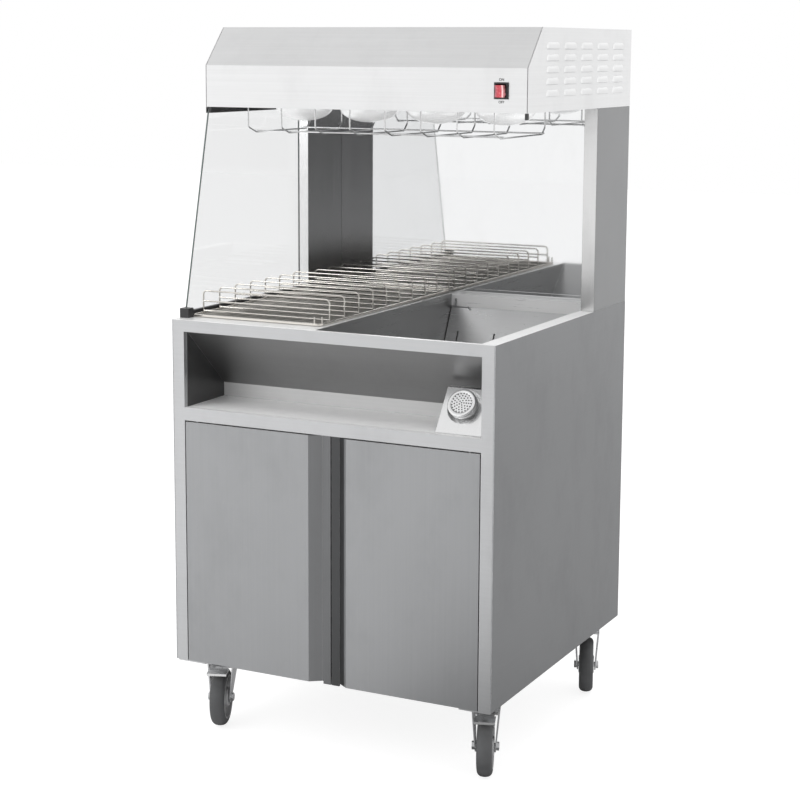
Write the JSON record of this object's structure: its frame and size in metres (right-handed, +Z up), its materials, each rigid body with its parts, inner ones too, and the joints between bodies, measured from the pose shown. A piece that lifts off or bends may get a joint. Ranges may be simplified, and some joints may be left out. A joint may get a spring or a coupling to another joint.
{
  "type": "french fry dump station",
  "caption": "Stainless cabinet on castors with dump basin, wire carton rack, heat lamp canopy, side glass and mirror back.",
  "frame": {"origin": "centre of the footprint, on the floor", "axes": "+X to the right along the front, +Y to the rear, +Z up"},
  "size_m": [0.748, 0.73, 1.508],
  "materials": {
    "brushed": "brushed stainless sheet",
    "wire": "bright drawn wire",
    "plain_steel": "plain stainless",
    "polished": "mirror polished sheet",
    "clear_glass": "clear toughened",
    "black_plastic": "satin black",
    "red_lens": "translucent red, lit",
    "socket_ceramic": "unglazed sockets on a rail",
    "lamp_glass": "reflector bulb",
    "zinc": "bright zinc plated",
    "tread": "grey black rubber"
  },
  "bodies": {
    "cabinet": {"side_panel_left": "brushed", "side_panel_right": "brushed", "front_frame": "brushed", "back_panel": "brushed", "base_pan": "brushed", "hinge_left": "plain_steel", "hinge_right": "plain_steel", "niche_liner": "brushed", "deck_plate": "brushed", "dump_basin": "brushed", "mirror_panel": "polished", "pillar_left": "brushed", "pillar_right": "brushed", "side_glass": "clear_glass", "glass_base_channel": "black_plastic", "glass_top_channel": "black_plastic", "glass_stop_right": "black_plastic", "canopy_shell": "brushed", "canopy_side_right": "brushed", "canopy_side_left": "brushed", "lamp_plate": "brushed", "lamp_rail": "socket_ceramic", "heat_lamp_1": "lamp_glass", "heat_lamp_2": "lamp_glass", "heat_lamp_3": "lamp_glass", "heat_lamp_4": "lamp_glass", "lamp_guard": "wire", "switch_body": "black_plastic", "shaker_holder": "plain_steel", "castor_plate_front_left": "zinc", "castor_plate_front_right": "zinc", "castor_plate_rear_left": "zinc", "castor_plate_rear_right": "zinc"},
    "left_door": {"door_left": "brushed"},
    "right_door": {"door_right": "brushed"},
    "drain": {"drain_plate": "plain_steel"},
    "rack": {"rack_base": "wire", "rack_divider_1": "wire", "rack_divider_2": "wire", "rack_divider_3": "wire", "rack_divider_4": "wire", "rack_divider_5": "wire", "rack_divider_6": "wire", "rack_divider_7": "wire", "rack_divider_8": "wire", "rack_divider_9": "wire", "rack_divider_10": "wire"},
    "rocker": {"switch_rocker": "red_lens"},
    "shaker": {"shaker_body": "plain_steel"},
    "shaker_cap": {"shaker_lid": "plain_steel"},
    "fork_front_left": {"castor_fork_front_left": "zinc"},
    "wheel_front_left": {"castor_wheel_front_left": "tread"},
    "brake_front_left": {"brake_pedal_front_left": "zinc"},
    "fork_front_right": {"castor_fork_front_right": "zinc"},
    "wheel_front_right": {"castor_wheel_front_right": "tread"},
    "brake_front_right": {"brake_pedal_front_right": "zinc"},
    "fork_rear_left": {"castor_fork_rear_left": "zinc"},
    "wheel_rear_left": {"castor_wheel_rear_left": "tread"},
    "fork_rear_right": {"castor_fork_rear_right": "zinc"},
    "wheel_rear_right": {"castor_wheel_rear_right": "tread"}
  },
  "joints": [
    {"name": "door_left_hinge", "type": "hinge", "parent": "cabinet", "child": "left_door", "pos_m": [-0.3155, -0.357, 0.42], "axis": [0, 0, -1], "range_deg": [0, 110]},
    {"name": "door_right_hinge", "type": "hinge", "parent": "cabinet", "child": "right_door", "pos_m": [0.3155, -0.357, 0.42], "axis": [0, 0, 1], "range_deg": [0, 110]},
    {"name": "drain_plate_lift", "type": "slide", "parent": "cabinet", "child": "drain", "axis": [0, 0, 1], "range_m": [0, 0.15]},
    {"name": "rack_lift", "type": "slide", "parent": "cabinet", "child": "rack", "axis": [0, 0, 1], "range_m": [0, 0.12]},
    {"name": "switch_rock", "type": "hinge", "parent": "cabinet", "child": "rocker", "pos_m": [0.3145, -0.224, 1.3835], "axis": [1, 0, 0], "range_deg": [-12, 0]},
    {"name": "shaker_out", "type": "slide", "parent": "cabinet", "child": "shaker", "axis": [0, -0.8141, 0.5807], "range_m": [0, 0.08]},
    {"name": "shaker_lid_off", "type": "slide", "parent": "shaker", "child": "shaker_cap", "axis": [0, -0.8141, 0.5807], "range_m": [0, 0.02]},
    {"name": "swivel_front_left", "type": "hinge", "parent": "cabinet", "child": "fork_front_left", "pos_m": [-0.316, -0.26, 0.144], "axis": [0, 0, 1], "continuous": true},
    {"name": "spin_front_left", "type": "hinge", "parent": "fork_front_left", "child": "wheel_front_left", "pos_m": [-0.30304, -0.29466, 0.0625], "axis": [0.9367, 0.3502, 0], "continuous": true},
    {"name": "pedal_front_left", "type": "hinge", "parent": "fork_front_left", "child": "brake_front_left", "pos_m": [-0.30339, -0.29372, 0.1305], "axis": [0.9367, 0.3502, 0], "range_deg": [0, 17]},
    {"name": "swivel_front_right", "type": "hinge", "parent": "cabinet", "child": "fork_front_right", "pos_m": [0.316, -0.26, 0.144], "axis": [0, 0, 1], "continuous": true},
    {"name": "spin_front_right", "type": "hinge", "parent": "fork_front_right", "child": "wheel_front_right", "pos_m": [0.32896, -0.29466, 0.0625], "axis": [0.9367, 0.3502, 0], "continuous": true},
    {"name": "pedal_front_right", "type": "hinge", "parent": "fork_front_right", "child": "brake_front_right", "pos_m": [0.32861, -0.29372, 0.1305], "axis": [0.9367, 0.3502, 0], "range_deg": [0, 17]},
    {"name": "swivel_rear_left", "type": "hinge", "parent": "cabinet", "child": "fork_rear_left", "pos_m": [-0.316, 0.31, 0.144], "axis": [0, 0, 1], "continuous": true},
    {"name": "spin_rear_left", "type": "hinge", "parent": "fork_rear_left", "child": "wheel_rear_left", "pos_m": [-0.30304, 0.27534, 0.0625], "axis": [0.9367, 0.3502, 0], "continuous": true},
    {"name": "swivel_rear_right", "type": "hinge", "parent": "cabinet", "child": "fork_rear_right", "pos_m": [0.316, 0.31, 0.144], "axis": [0, 0, 1], "continuous": true},
    {"name": "spin_rear_right", "type": "hinge", "parent": "fork_rear_right", "child": "wheel_rear_right", "pos_m": [0.32896, 0.27534, 0.0625], "axis": [0.9367, 0.3502, 0], "continuous": true}
  ]
}
